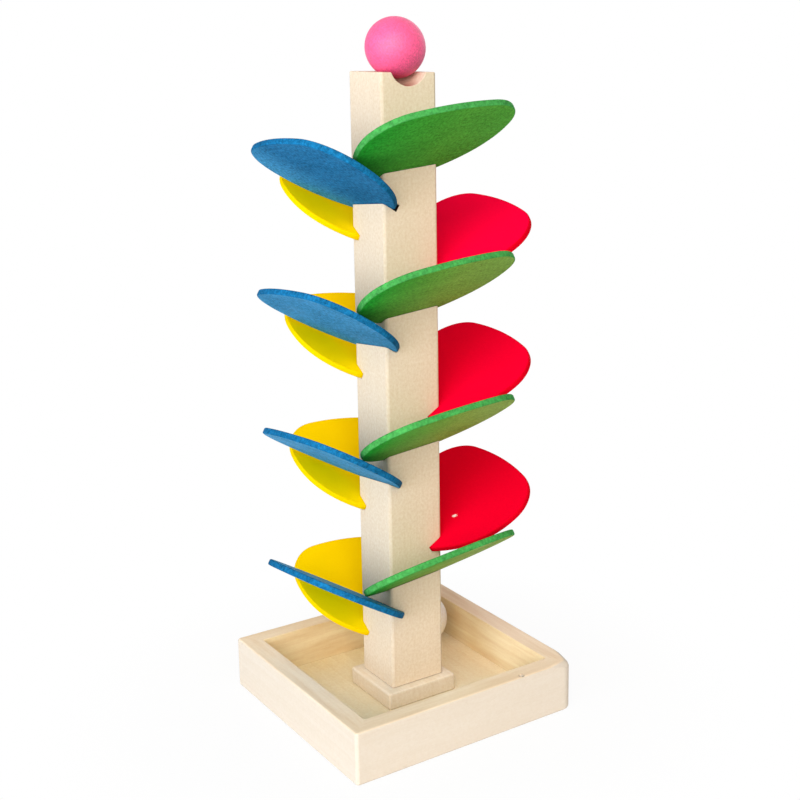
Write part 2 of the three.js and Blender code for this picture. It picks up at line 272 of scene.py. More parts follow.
class Finishes(bpy.types.PropertyGroup):
    """Colours of the paints and woods, and of painted light and shade."""

    # The front petals' darker low ends are partly painted shade from the petal beside them
    green: colour("Green", "Paint of the front petals, darkest at their low ends, partly painted shade", 37, 152, 47)
    # Paler green towards each front petal's high end and on the lower rows
    green_pale: colour("Green, pale", "Front petals, paler towards their high ends and on the lower rows", 137, 167, 77)
    # Paler green on the front petals' rims, partly a painted highlight along them
    green_rim: colour("Green rim", "Paler green on the front petals' rims, partly a painted highlight", 66, 150, 74)
    blue: colour("Blue", "Paint of the left petals", 10, 92, 143)
    # Paler blue towards each left petal's low end and on the lower rows
    blue_pale: colour("Blue, pale", "Left petals, paler towards their low ends and on the lower rows", 67, 147, 195)
    blue_rim: colour("Blue rim", "Paint on the left petals' rims", 22, 102, 150)
    yellow: colour("Yellow", "Paint of the back petals", 255, 219, 2)
    yellow_rim: colour("Yellow rim", "Paint on the back petals' rims", 243, 203, 2)
    red: colour("Red", "Paint of the right petals", 255, 2, 62)
    # Painted shade: the lower right petals are darker
    red_shaded: colour("Red, shaded", "Darker red on the lower right petals, painted shade", 228, 1, 38)
    red_rim: colour("Red rim", "Paint on the right petals' rims", 214, 2, 28)
    pink: colour("Pink", "Paint of the launch ball", 238, 88, 140)
    chipped: colour("Chipped", "Bare wood where paint has chipped off", 243, 233, 228)
    post_wood: colour("Post wood", "Pale wood of the post", 234, 220, 200)
    plinth_wood: colour("Plinth wood", "Pale wood of the plinth", 246, 235, 218)
    # Lit and shaded copies of the rails' wood, painted light: darker outer sides, lighter rim and inner
    # sides
    rail_wood: colour("Rail wood, shaded", "Outer sides of the rails, a darker copy of the wood as painted shade", 221, 212, 199)
    rim_wood_lit: colour("Rim wood, lit", "Top of the rails, a lighter copy of the wood as painted light", 250, 234, 210)
    wall_wood_lit: colour("Wall wood, lit", "Inner sides of the rails, a lighter, yellower copy of the wood as painted light", 245, 231, 195)
    streak_wood: colour("Streak wood", "Brown streaks on the rails' tops and inner sides", 208, 168, 112)
    # Painted shade and pink reflection under the ball in the launch groove
    groove_shade: colour("Groove shade", "Painted shade and pink reflection under the ball in the launch groove", 170, 40, 16)
    # Made lighter as painted light for the light the tray's inside lacks
    floor_wood: colour("Floor wood, lit", "Pale wood of the floor panel, made lighter as painted light inside the tray", 254, 245, 217)
    # Made lighter as painted light for the post's shade on the plain ball
    ball_wood: colour("Ball wood, lit", "Pale wood of the plain ball, made lighter as painted light in the post's shade", 255, 255, 252)
    late_wood: colour("Late wood", "Tint of the grain lines on all the wood", 239, 231, 219)
    # Dark wood of pores, end grain and the nick, and painted shade in the deep kerf and on the post's
    # arrises
    dark_wood_and_shade: colour("Dark wood and shade", "Dark wood of pores, end grain and the nick, and painted shade in the deep kerf and on the post's arrises", 30, 14, 6)
    steel: colour("Steel", "Screw", 190, 192, 196)


class WearAndShadeSettings(bpy.types.PropertyGroup):
    """Marks that use has left, and where painted shade and pink reflection lie in the launch groove."""

    chip: spot("Chip", "Where paint is chipped off a right petal", (0.026056, -0.010653, 0.096904))
    chip_radius: length("Chip radius", "Radius of the chip in the paint", 0.0012)
    nick_along: length("Nick along", "From the front rail's middle to the nick", 0.0315)
    nick_inset: length("Nick inset", "From the rail's outer side to the nick", 0.00195)
    nick_radius: length("Nick radius", "Radius of the hollow", 0.0015)
    nick_dark_spot: length("Nick dark spot", "Radius of the darker spot in the hollow", 0.0014)
    # Where the painted shade and pink reflection lie in the launch groove
    shade_aside: length("Shade aside", "Painted shade's middle, left of the post's axis", 0.004)
    shade_ahead: length("Shade ahead", "Painted shade's middle, in front of the groove's end", 0.006)
    shade_core: length("Shade core", "The painted shade is full up to here", 0.004)
    shade_reach: length("Shade reach", "The painted shade ends here", 0.0115)


class StageSettings(bpy.types.PropertyGroup):
    """Camera and light."""

    azimuth: angle("Azimuth", "Camera round the post, from the front", -38.048)
    elevation: angle("Elevation", "Camera's look down", 12.785)
    roll: angle("Roll", "Camera's turn about its own line of sight", 0.550)
    place: spot("Camera", "Where the camera stands", (-0.329325, -0.551060, 0.332039))
    lens: FloatProperty(name="Lens", description="Focal length in millimetres", default=59.628, min=1.0)
    shift_x: FloatProperty(name="Shift across", description="Camera shift, in image widths", default=-0.2)
    shift_y: FloatProperty(name="Shift up", description="Camera shift, in image widths", default=-0.065)
    sky: power("Sky", "Light from all round", 0.371)
    window: power("Window", "Watts of the cool lamp on the left", 19.0)
    room: power("Room", "Watts of the warm lamp by the camera", 21.4)
    rim: power("Rim", "Watts of the lamp behind on the right", 4.1)


class MarbleRunSettings(bpy.types.PropertyGroup):
    """All that a user would change on the marble run."""

    petal: PointerProperty(type=PetalSizes)
    post: PointerProperty(type=PostSizes)
    tray: PointerProperty(type=TraySizes)
    small: PointerProperty(type=SmallSizes)
    finish: PointerProperty(type=Finishes)
    wear_and_shade: PointerProperty(type=WearAndShadeSettings)
    stage: PointerProperty(type=StageSettings)


def settings():
    """The scene's own settings of the marble run."""
    return bpy.context.scene.marble_run


# Workbench

def clear_bench():
    """Leaves edit mode and deselects everything."""
    if bpy.context.mode != "OBJECT":
        bpy.ops.object.mode_set(mode="OBJECT")
    bpy.ops.object.select_all(action="DESELECT")


def take_up(piece):
    """Selects one piece and nothing else."""
    clear_bench()
    piece.select_set(True)
    bpy.context.view_layer.objects.active = piece


@contextmanager
def editing(piece):
    """Edit mode on one piece, with all of it selected."""
    take_up(piece)
    bpy.ops.object.mode_set(mode="EDIT")
    bpy.ops.mesh.select_mode(type="VERT")
    bpy.ops.mesh.select_all(action="SELECT")
    yield
    bpy.ops.object.mode_set(mode="OBJECT")
    piece.select_set(False)


def pick(piece, kind, wanted):
    """Selects those vertices, edges or faces, in edit mode, that the test wants."""
    bpy.ops.mesh.select_mode(type=kind)
    bpy.ops.mesh.select_all(action="DESELECT")
    shape = bmesh.from_edit_mesh(piece.data)
    parts = {"VERT": shape.verts, "EDGE": shape.edges, "FACE": shape.faces}[kind]
    chosen = [part for part in parts if wanted(part)]
    if not chosen:
        raise RuntimeError(f"nothing to shape on {piece.name}")
    for part in chosen:
        part.select_set(True)
    shape.select_flush_mode()
    bmesh.update_edit_mesh(piece.data)


def ends(edge):
    """The places of an edge's two ends."""
    return [vertex.co for vertex in edge.verts]


def level(points, axis, value):
    """True if all the points lie at one height along an axis."""
    return all(abs(point[axis] - value) < CLOSE for point in points)


def upright(edge):
    """True if an edge runs straight up."""
    a, b = ends(edge)
    return abs(a.x - b.x) < TINY and abs(a.y - b.y) < TINY


def at_height(*heights):
    """A test for edges that lie level at one of some heights."""
    return lambda edge: any(level(ends(edge), 2, height) for height in heights)


def start_piece(name):
    """Names the primitive just added and puts its place into its mesh."""
    piece = bpy.context.active_object
    bpy.ops.object.transform_apply(location=True, rotation=True, scale=True)
    piece.name = name
    piece.data.name = name
    return piece


def add_block(name, low, high):
    """A squared block between two corners."""
    clear_bench()
    bpy.ops.mesh.primitive_cube_add(size=1, location=(low + high) / 2, scale=high - low)
    return start_piece(name)


def start_outline(name):
    """A flat scrap that is drawn together into the first point of an outline."""
    clear_bench()
    bpy.ops.mesh.primitive_plane_add(size=MILLIMETRE)
    return start_piece(name)


def draw_out(move):
    """Draws the selection out along a move."""
    bpy.ops.mesh.extrude_region_move(TRANSFORM_OT_translate={"value": move})


def saw_off(point, outward):
    """Saws off all that lies past a plane and closes the cut."""
    bpy.ops.mesh.select_all(action="SELECT")
    bpy.ops.mesh.bisect(plane_co=point, plane_no=outward, use_fill=True, clear_outer=True)


def round_edges(piece, radius, segments, wanted):
    """Rounds the edges that the test wants."""
    with editing(piece):
        pick(piece, "EDGE", wanted)
        bpy.ops.mesh.bevel(offset=radius, offset_type="OFFSET", segments=segments, affect="EDGES")


def apply_modifier(piece, kind, **values):
    """Adds a modifier and applies it."""
    clear_bench()
    bpy.context.view_layer.objects.active = piece
    modifier = piece.modifiers.new(kind.lower(), kind)
    for key, value in values.items():
        setattr(modifier, key, value)
    bpy.ops.object.modifier_apply(modifier=modifier.name)


def discard(piece):
    """Takes a tool or a pattern piece off the bench."""
    mesh = piece.data
    bpy.data.objects.remove(piece)
    bpy.data.meshes.remove(mesh)


def cut_away(piece, cutter):
    """Cuts the shape of a tool out of a piece."""
    apply_modifier(piece, "BOOLEAN", operation="DIFFERENCE", solver="EXACT", object=cutter)
    discard(cutter)


def clear_slivers(piece):
    """Merges doubled points and takes out the slivers that a cut has left."""
    with editing(piece):
        bpy.ops.mesh.remove_doubles(threshold=CLOSE)
        bpy.ops.mesh.dissolve_degenerate(threshold=CLOSE)


def turn_profile(name, profile, steps):
    """A turned piece about Z from a profile of (radius, height) pairs that starts and ends on the axis."""
    piece = start_outline(name)
    with editing(piece):
        bpy.ops.mesh.merge(type="CENTER")
        bpy.ops.transform.translate(value=(profile[0][0], 0, profile[0][1]))
        for (radius, height), (next_radius, next_height) in zip(profile, profile[1:]):
            draw_out((next_radius - radius, 0, next_height - height))
        bpy.ops.mesh.select_all(action="SELECT")
        bpy.ops.mesh.spin(steps=steps, angle=2 * math.pi, center=(0, 0, 0), axis=(0, 0, 1))
        bpy.ops.mesh.select_all(action="SELECT")
        bpy.ops.mesh.remove_doubles(threshold=TINY)
        bpy.ops.mesh.normals_make_consistent(inside=False)
    return piece


def copy_piece(piece, name):
    """A copy with a mesh of its own."""
    copy = piece.copy()
    copy.data = piece.data.copy()
    copy.name = name
    copy.data.name = name
    bpy.context.scene.collection.objects.link(copy)
    return copy


def lay_grain(piece, board, offset):
    """Stores where each point lies in its board, X along the grain, with an offset for each board."""
    layer = piece.data.attributes.new("grain", "FLOAT_VECTOR", "POINT")
    shift = Vector(offset)
    for vertex, value in zip(piece.data.vertices, layer.data):
        value.vector = board @ vertex.co + shift


def mark(piece, name, domain, shares):
    """Stores one share for each point or face of a piece."""
    layer = piece.data.attributes.new(name, "FLOAT", domain)
    for value, share in zip(layer.data, shares):
        value.value = share


def hand_over(piece, node, body, finish):
    """Gives a piece its finish and lets it stand for its solid."""
    take_up(piece)
    bpy.ops.object.shade_smooth_by_angle(angle=SMOOTH_ANGLE)
    apply_modifier(piece, "WEIGHTED_NORMAL", mode="FACE_AREA", weight=50, keep_sharp=True)
    piece.data.materials.clear()
    piece.data.materials.append(finish)
    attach(piece, body)
    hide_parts(node)


# Finishes

def add_node(tree, kind, inputs=None, **values):
    """A node with its inputs linked or set."""
    node = tree.nodes.new(kind)
    for key, value in values.items():
        setattr(node, key, value)
    for key, value in (inputs or {}).items():
        if isinstance(value, bpy.types.NodeSocket):
            tree.links.new(value, node.inputs[key])
        else:
            node.inputs[key].default_value = value
    return node


def new_finish(name):
    """An empty finish with its node tree and surface."""
    material = bpy.data.materials.new(name)
    material.use_nodes = True
    return material, material.node_tree, material.node_tree.nodes["Principled BSDF"]


def dress(tree, surface, tone, roughness, relief, strength, depth):
    """Gives a surface its colour, its roughness and a fine relief."""
    bump = add_node(tree, "ShaderNodeBump", {"Height": relief, "Strength": strength, "Distance": depth})
    for name, value in (("Base Color", tone), ("Roughness", roughness), ("Normal", bump.outputs["Normal"])):
        tree.links.new(value, surface.inputs[name])


def board_space(tree):
    """Where a point lies in its board."""
    return add_node(tree, "ShaderNodeAttribute", attribute_name="grain").outputs["Vector"]


def stored(tree, name):
    """A share stored on the piece."""
    return add_node(tree, "ShaderNodeAttribute", attribute_name=name).outputs["Fac"]


def streaks(tree, board, along, across, detail, rough):
    """Noise drawn out along the grain, with so many features in a metre each way."""
    space = add_node(tree, "ShaderNodeMapping", {"Vector": board, "Scale": (along, across, across)})
    noise = add_node(
        tree, "ShaderNodeTexNoise",
        {"Vector": space.outputs["Vector"], "Scale": 1.0, "Detail": detail, "Roughness": rough},
    )
    return noise.outputs["Fac"]


def spread(tree, value, low, high, to_low=0.0, to_high=1.0):
    """Stretches a value's range."""
    node = add_node(
        tree, "ShaderNodeMapRange",
        {"Value": value, "From Min": low, "From Max": high, "To Min": to_low, "To Max": to_high},
    )
    return node.outputs["Result"]


def weigh(tree, noise, to_low, to_high):
    """Stretches the usual range of a noise."""
    return spread(tree, noise, NOISE_LOW, NOISE_HIGH, to_low, to_high)


def arithmetic(tree, operation, first, second):
    """One sum of two values."""
    node = add_node(tree, "ShaderNodeMath", {0: first, 1: second}, operation=operation)
    return node.outputs["Value"]


def blend_colours(tree, share, first, second, mode="MIX"):
    """Two colours mixed by a share."""
    node = add_node(tree, "ShaderNodeMix", data_type="RGBA", blend_type=mode)
    for socket, value in ((node.inputs[0], share), (node.inputs[6], first), (node.inputs[7], second)):
        if isinstance(value, bpy.types.NodeSocket):
            tree.links.new(value, socket)
        else:
            socket.default_value = value
    return node.outputs[2]


def opaque(rgb, strength=1.0):
    """A colour with its alpha, made lighter or darker."""
    return (*[min(1.0, channel * strength) for channel in rgb], 1.0)


def surface_place(tree):
    """Where a point of the surface lies in the shared frame."""
    return add_node(tree, "ShaderNodeTexCoord").outputs["Object"]


def distance_from(tree, point):
    """How far the surface lies from a point."""
    node = add_node(tree, "ShaderNodeVectorMath", {0: surface_place(tree), 1: point}, operation="DISTANCE")
    return node.outputs["Value"]


def rail_zones(tree):
    """Colour of the rails by place: pale outer sides, a browner rim and yellower inner sides. The three are
    lit and shaded copies of one wood, painted light; the brown streaks on the rim and inner sides are
    grain.
    """
    finish, tray = settings().finish, settings().tray
    axes = add_node(tree, "ShaderNodeSeparateXYZ", {0: surface_place(tree)}).outputs
    across = [arithmetic(tree, "ABSOLUTE", axes[axis], 0.0) for axis in ("X", "Y")]
    reach = arithmetic(tree, "MAXIMUM", *across)
    inner = -RAIL_LOW.y - tray.rail_thickness
    inside = spread(tree, reach, inner + tray.inner_edge / 2, inner + tray.inner_edge, 1.0, 0.0)
    top = spread(tree, axes["Z"], RAIL_HIGH.z - tray.outer_edge / 2, RAIL_HIGH.z - tray.outer_edge / 8)
    streak = streaks(tree, board_space(tree), *RAIL_STREAKS)
    brown = opaque(finish.streak_wood)
    rim, wall = [
        blend_colours(tree, spread(tree, streak, *STREAK_RANGE, 0.0, share), opaque(wood), brown)
        for wood, share in ((finish.rim_wood_lit, RIM_STREAKS), (finish.wall_wood_lit, WALL_STREAKS))
    ]
    outside = blend_colours(tree, top, opaque(finish.rail_wood), rim)
    return blend_colours(tree, inside, outside, wall)


def near(tree, point, radius, ragged):
    """One near a point, with a ragged edge, and nothing further off."""
    reach = distance_from(tree, point)
    uneven = arithmetic(tree, "ADD", reach, weigh(tree, ragged, -radius / 2, radius / 2))
    return spread(tree, uneven, 0.8 * radius, 1.2 * radius, 1.0, 0.0)


def wood_finish(name, wood, pith, ring_scale=95.0, figure=PLAIN_FIGURE, nick=None, groove_shade_spot=None):
    """Sanded bare wood, its figure made of growth rings round a pith, fibres, broad bands and mottle."""
    material, tree, surface = new_finish(name)
    finish, wear_and_shade = settings().finish, settings().wear_and_shade
    board = board_space(tree)
    ring_space = add_node(
        tree, "ShaderNodeMapping", {"Vector": board, "Scale": RING_STRETCH, "Location": pith},
    )
    rings = add_node(
        tree, "ShaderNodeTexWave",
        {
            "Vector": ring_space.outputs["Vector"], "Scale": ring_scale, "Distortion": 2.6,
            "Detail": 3.0, "Detail Scale": 0.35, "Detail Roughness": 0.5,
        },
        wave_type="RINGS", rings_direction="X", wave_profile="SAW",
    ).outputs["Fac"]
    fibres = streaks(tree, board, *WOOD_FIBRES)
    bands = streaks(tree, board, *WOOD_BANDS)
    pores = spread(tree, streaks(tree, board, *WOOD_PORES), *PORE_RANGE)
    mottle = streaks(tree, board, *WOOD_MOTTLE)
    tone = arithmetic(tree, "MULTIPLY", rings, figure[0])
    for part, share in zip((fibres, bands, mottle), figure[1:]):
        tone = arithmetic(tree, "ADD", tone, weigh(tree, part, 0.0, share))
    tint = blend_colours(tree, tone, WHITE, opaque(finish.late_wood))
    pale = wood(tree) if callable(wood) else opaque(wood)
    grain = blend_colours(tree, 1.0, pale, tint, "MULTIPLY")
    # Painted shade and pink reflection of the ball in the launch groove
    if groove_shade_spot is not None:
        reach = distance_from(tree, groove_shade_spot)
        darkening = spread(tree, reach, wear_and_shade.shade_core, wear_and_shade.shade_reach, GROOVE_SHADE_COVER, 0.0)
        painted_shade = arithmetic(tree, "MULTIPLY", stored(tree, "rubbed"), darkening)
        grain = blend_colours(tree, painted_shade, grain, opaque(finish.groove_shade))
    shade = arithmetic(tree, "MULTIPLY", pores, PORES)
    # Dark marks stored on the piece, some of them painted shade
    shade = arithmetic(tree, "MAXIMUM", shade, stored(tree, "burn"))
    # The nick's hollow is darker
    if nick is not None:
        darkening = arithmetic(tree, "MULTIPLY", near(tree, nick, wear_and_shade.nick_dark_spot, mottle), NICK_DARKENING)
        shade = arithmetic(tree, "MAXIMUM", shade, darkening)
    pored = blend_colours(tree, shade, grain, opaque(finish.dark_wood_and_shade))
    relief = arithmetic(tree, "SUBTRACT", fibres, arithmetic(tree, "MULTIPLY", pores, PORE_DEPTH))
    roughness = weigh(tree, fibres, *WOOD_ROUGHNESS)
    dress(tree, surface, pored, roughness, relief, strength=0.08, depth=0.00025)
    surface.inputs["Specular IOR Level"].default_value = WOOD_GLOSS
    return material


def paint_finish(name, paint, cloud, gloss, speck=700.0, second_colour=None, wear_and_shade=None, rim=None, chip=None):
    """Sprayed paint on wood: fibres show through and the cover is cloudy. It can shift to a second colour
    by row and along the petal, which on the right petals is painted shade, and it can be chipped.
    """
    material, tree, surface = new_finish(name)
    bare, chip_radius = settings().finish.chipped, settings().wear_and_shade.chip_radius
    board = board_space(tree)
    fibres = streaks(tree, board, *PAINT_FIBRES)
    specks = streaks(tree, board, 1.15 * speck, 0.85 * speck, detail=3.0, rough=0.75)
    cover = streaks(tree, board, *PAINT_COVER)
    coat = opaque(paint)
    # A second colour by row and along the petal; on the right petals it is painted shade
    if second_colour is not None:
        age = stored(tree, "age")
        if wear_and_shade is not None:
            operation, low_end, high_end = wear_and_shade
            fade = spread(tree, stored(tree, "run"), *RUN_TONE_RANGE, low_end, high_end)
            age = arithmetic(tree, operation, age, fade)
        coat = blend_colours(tree, age, coat, opaque(second_colour))
    if rim is not None:
        coat = blend_colours(tree, stored(tree, "rim"), coat, opaque(rim))
    parts = [
        weigh(tree, part, 0.0, share) for part, share in zip((cover, fibres, specks), PAINT_TONES)
    ]
    tone = arithmetic(tree, "ADD", arithmetic(tree, "ADD", parts[0], parts[1]), parts[2])
    shade = spread(tree, tone, 0.0, 1.0, 1.0 + cloud, 1.0 - cloud)
    coat = blend_colours(tree, 1.0, coat, shade, "MULTIPLY")
    if chip is not None:
        coat = blend_colours(tree, near(tree, chip, chip_radius, specks), coat, opaque(bare))
    relief = arithmetic(tree, "ADD", fibres, arithmetic(tree, "MULTIPLY", specks, SPECK_HEIGHT))
    roughness = weigh(tree, cover, *PAINT_ROUGHNESS)
    dress(tree, surface, coat, roughness, relief, strength=0.1, depth=0.0002)
    surface.inputs["Specular IOR Level"].default_value = gloss
    return material


def steel_finish(name, steel):
    """Zinc-plated steel with turning marks."""
    material, tree, surface = new_finish(name)
    marks = streaks(tree, board_space(tree), *TURNING_MARKS)
    tone = blend_colours(tree, marks, opaque(steel, 0.75), opaque(steel, 1.05))
    roughness = weigh(tree, marks, *STEEL_ROUGHNESS)
    dress(tree, surface, tone, roughness, marks, strength=0.1, depth=0.0001)
    surface.inputs["Metallic"].default_value = 1.0
    return material


# Petals

def petal_seat(index):
    """Where a petal sits: in the middle of its face, sloped along the face and tilted away from it."""
    petal = settings().petal
    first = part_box("green_petal_1")[0].z
    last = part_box("green_petal_4")[0].z
    drop = (first - last) / (3 * len(PETAL_COLOURS))
    height = POST_HIGH.z - petal.launch_drop - index * drop
    return (
        Matrix.Rotation(math.pi - QUARTER_TURN * (index % len(PETAL_COLOURS)), 4, "Z")
        @ Matrix.Translation((0, POST_HIGH.y, height))
        @ Matrix.Rotation(petal.slope, 4, "Y")
        @ Matrix.Rotation(petal.tilt, 4, "X")
    )


def draw_half_outline(piece, petal):
    """Half of a petal's outline: shoulder and crown are spun, the flank is drawn point by point."""
    half = petal.width / 2
    root_half = POST_HIGH.x + petal.ear
    shoulder_x = half - petal.shoulder_radius
    rise = petal.shoulder_radius + petal.crown_rise
    crown_radius = (shoulder_x ** 2 + rise ** 2 - petal.shoulder_radius ** 2) / (2 * petal.crown_rise)
    crown_y = petal.shoulder_height + rise - crown_radius
    turn = math.atan2(petal.shoulder_height - crown_y, shoulder_x)
    widest = Vector((half, petal.shoulder_height, 0))
    root = Vector((root_half, -petal.root_depth, 0))
    control = Vector((half, petal.flare_height, 0))
    bpy.ops.mesh.merge(type="CENTER")
    bpy.ops.transform.translate(value=widest)
    bpy.ops.mesh.spin(steps=18, angle=-turn, center=(shoulder_x, petal.shoulder_height, 0), axis=(0, 0, 1))
    bpy.ops.mesh.spin(steps=6, angle=turn - QUARTER_TURN, center=(0, crown_y, 0), axis=(0, 0, 1))
    pick(piece, "VERT", lambda vertex: (vertex.co - widest).length < TINY)
    steps = 20
    flank = [
        widest * (1 - t) ** 2 + control * 2 * t * (1 - t) + root * t ** 2
        for t in (step / steps for step in range(steps + 1))
    ]
    for here, there in zip(flank, flank[1:]):
        draw_out(there - here)
    draw_out((-root_half, 0, 0))


def shape_petal():
    """The pattern petal, flat on the bench: X along the post's face, Y away from it."""
    petal = settings().petal
    piece = start_outline("petal_pattern")
    with editing(piece):
        draw_half_outline(piece, petal)
    apply_modifier(piece, "MIRROR", use_axis=(True, False, False), merge_threshold=TINY)
    half = petal.thickness / 2
    with editing(piece):
        bpy.ops.mesh.edge_face_add()
        draw_out((0, 0, petal.thickness))
        bpy.ops.mesh.select_all(action="SELECT")
        bpy.ops.transform.translate(value=(0, 0, -half))
        bpy.ops.mesh.normals_make_consistent(inside=False)
        pick(piece, "EDGE", at_height(half, -half))
        bpy.ops.mesh.bevel(offset=petal.edge, offset_type="OFFSET", segments=4, affect="EDGES")
    return piece


def row_tone_share(row):
    """How far a row's petals take their second colour: little at the top, fully from the third row down; on
    the right petals that colour is painted shade.
    """
    return min(1.0, row / 2 - 0.25)


class MARBLERUN_OT_petals(bpy.types.Operator):
    """Cut one petal and set fifteen copies round the post"""

    bl_idname = "marblerun.petals"
    bl_label = "Petals"

    def execute(self, context):
        finish, petal, wear_and_shade = settings().finish, settings().petal, settings().wear_and_shade
        paints = {
            # Front petals go paler along the run from darker low ends, which are partly painted shade
            "green": paint_finish(
                "green_paint", finish.green, cloud=0.58, gloss=0.004,
                second_colour=finish.green_pale, wear_and_shade=("MULTIPLY", 0.0, 1.0), rim=finish.green_rim,
            ),
            # Left petals are paler at their low ends and on the lower rows
            "blue": paint_finish(
                "blue_paint", finish.blue, cloud=0.75, gloss=0.004,
                second_colour=finish.blue_pale, wear_and_shade=("MAXIMUM", 0.9, 0.0), rim=finish.blue_rim,
            ),
            "yellow": paint_finish(
                "yellow_paint", finish.yellow, cloud=0.03, gloss=0.002, rim=finish.yellow_rim,
            ),
            # The lower right petals get a darker red as painted shade
            "red": paint_finish(
                "red_paint", finish.red, cloud=0.04, gloss=0.002,
                second_colour=finish.red_shaded, rim=finish.red_rim, chip=wear_and_shade.chip,
            ),
        }
        pattern = shape_petal()
        for index in range(PETAL_COUNT):
            name = PETAL_COLOURS[index % len(PETAL_COLOURS)]
            row = index // len(PETAL_COLOURS) + 1
            piece = copy_piece(pattern, f"petal_{name}_{row}")
            lay_grain(piece, Matrix.Identity(4), PETAL_STEP * index)
            points = piece.data.vertices
            # Lower rows take more of the second colour; on the right petals that is painted shade
            mark(piece, "age", "POINT", [row_tone_share(row)] * len(points))
            mark(piece, "run", "POINT", [0.5 - point.co.x / petal.width for point in points])
            mark(piece, "rim", "POINT", [abs(point.co.z) < petal.thickness / 2 - TINY for point in points])
            piece.data.transform(petal_seat(index))
            hand_over(piece, f"{name}_petal_{row}", "stand", paints[name])
        discard(pattern)
        return {"FINISHED"}


# Post

def kerf_cutters():
    """One saw cut for each petal, in the petal's own plane and across the whole face."""
    petal, post = settings().petal, settings().post
    width = 2 * (POST_HIGH.x - POST_LOW.x)
    half = petal.thickness / 2 + post.kerf_clearance
    cuts = []
    for index in range(PETAL_COUNT):
        slack = post.kerf_slack if index == DEEP_KERF else post.kerf_clearance
        reach = petal.root_depth + slack
        corner = Vector((width / 2, reach, half))
        cut = add_block("kerf", -corner, corner)
        cut.data.transform(petal_seat(index))
        cuts.append(cut)
    clear_bench()
    for cut in cuts:
        cut.select_set(True)
    bpy.context.view_layer.objects.active = cuts[0]
    bpy.ops.object.join()
    return cuts[0]


def dark_faces(mesh):
    """How dark each face is: painted shade in the deep kerf's empty end, darker at the foot, and painted
    shade on the rounded arrises that tones down their highlight.
    """
    petal, post = settings().petal, settings().post
    seat = petal_seat(DEEP_KERF).inverted()
    half = petal.thickness / 2 + post.kerf_clearance + CLOSE
    reach = petal.root_depth + post.kerf_slack + CLOSE
    places = [seat @ vertex.co for vertex in mesh.vertices]
    in_deep_kerf = [abs(place.z) < half and -reach < place.y < -CLOSE for place in places]
    at_foot = [vertex.co.z < POST_LOW.z + post.foot_edge + CLOSE for vertex in mesh.vertices]
    shades = []
    for face in mesh.polygons:
        # Painted shade in the deep kerf's empty end
        if all(in_deep_kerf[index] for index in face.vertices):
            shades.append(1.0)
        # The post's foot is darker
        elif all(at_foot[index] for index in face.vertices):
            shades.append(FOOT_DARKENING)
        # Painted shade on the rounded arrises, to tone down their highlight
        elif abs(face.normal.z) < UPRIGHT_RISE:
            shades.append(ARRIS_SHADE * 2 * abs(face.normal.x * face.normal.y))
        else:
            shades.append(0.0)
    return shades


def groove_shape():
    """Radius and middle of the launch groove's round end."""
    post = settings().post
    radius = (post.groove_width ** 2 / 4 + post.groove_depth ** 2) / (2 * post.groove_depth)
    return radius, Vector((0, -post.groove_end, POST_HIGH.z - post.groove_depth + radius))


def groove_cutter():
    """Ball-nosed cutter that runs out over the front face."""
    radius, middle = groove_shape()
    clear_bench()
    bpy.ops.mesh.primitive_uv_sphere_add(
        segments=72, ring_count=36, radius=radius, rotation=(QUARTER_TURN, 0, 0),
    )
    cutter = start_piece("groove_cutter")
    with editing(cutter):
        pick(cutter, "FACE", lambda face: face.calc_center_median().y < 0)
        bpy.ops.mesh.delete(type="FACE")
        pick(cutter, "EDGE", lambda edge: edge.is_boundary)
        draw_out((0, 2 * POST_LOW.y, 0))
        bpy.ops.mesh.edge_face_add()
        bpy.ops.mesh.select_all(action="SELECT")
        bpy.ops.mesh.normals_make_consistent(inside=False)
        bpy.ops.transform.translate(value=middle)
    return cutter


def in_groove(point):
    """True if a point lies on the launch groove's surface."""
    radius, middle = groove_shape()
    away = point - middle
    if away.y < 0:
        away = Vector((away.x, 0, away.z))
    return abs(away.length - radius) < GROOVE_FIT


def groove_shade_faces(mesh):
    """For each face, true if it lies in the launch groove, where painted shade and pink reflection lie
    under the ball.
    """
    return [all(in_groove(mesh.vertices[index].co) for index in face.vertices) for face in mesh.polygons]


class MARBLERUN_OT_post(bpy.types.Operator):
    """Square the post, saw its kerfs and rout the launch groove"""

    bl_idname = "marblerun.post"
    bl_label = "Post"

    def execute(self, context):
        post, finish, wear_and_shade = settings().post, settings().finish, settings().wear_and_shade
        piece = add_block("sawn_post", POST_LOW, POST_HIGH)
        round_edges(piece, post.arris, 4, upright)
        round_edges(piece, post.top_edge, 3, at_height(POST_HIGH.z))
        round_edges(piece, post.foot_edge, 2, at_height(POST_LOW.z))
        cut_away(piece, groove_cutter())

        def is_groove(face):
            return all(in_groove(vertex.co) for vertex in face.verts)

        round_edges(
            piece, post.groove_lip, 2,
            lambda edge: sum(is_groove(face) for face in edge.link_faces) == 1,
        )
        cut_away(piece, kerf_cutters())
        lay_grain(piece, Matrix.Rotation(QUARTER_TURN, 4, "Y"), (0.0, 0.0, 0.0))
        mark(piece, "burn", "FACE", dark_faces(piece.data))
        # Faces of the launch groove, where painted shade and pink reflection lie under the ball
        mark(piece, "rubbed", "FACE", groove_shade_faces(piece.data))
        radius, middle = groove_shape()
        # The groove's painted shade and pink reflection centre beside and in front of its round end
        wood = wood_finish(
            "post_wood", finish.post_wood, pith=(0, 0.019, 0.043), figure=POST_FIGURE,
            groove_shade_spot=middle - Vector((wear_and_shade.shade_aside, wear_and_shade.shade_ahead, radius)),
        )
        hand_over(piece, "post", "stand", wood)
        return {"FINISHED"}


# Tray

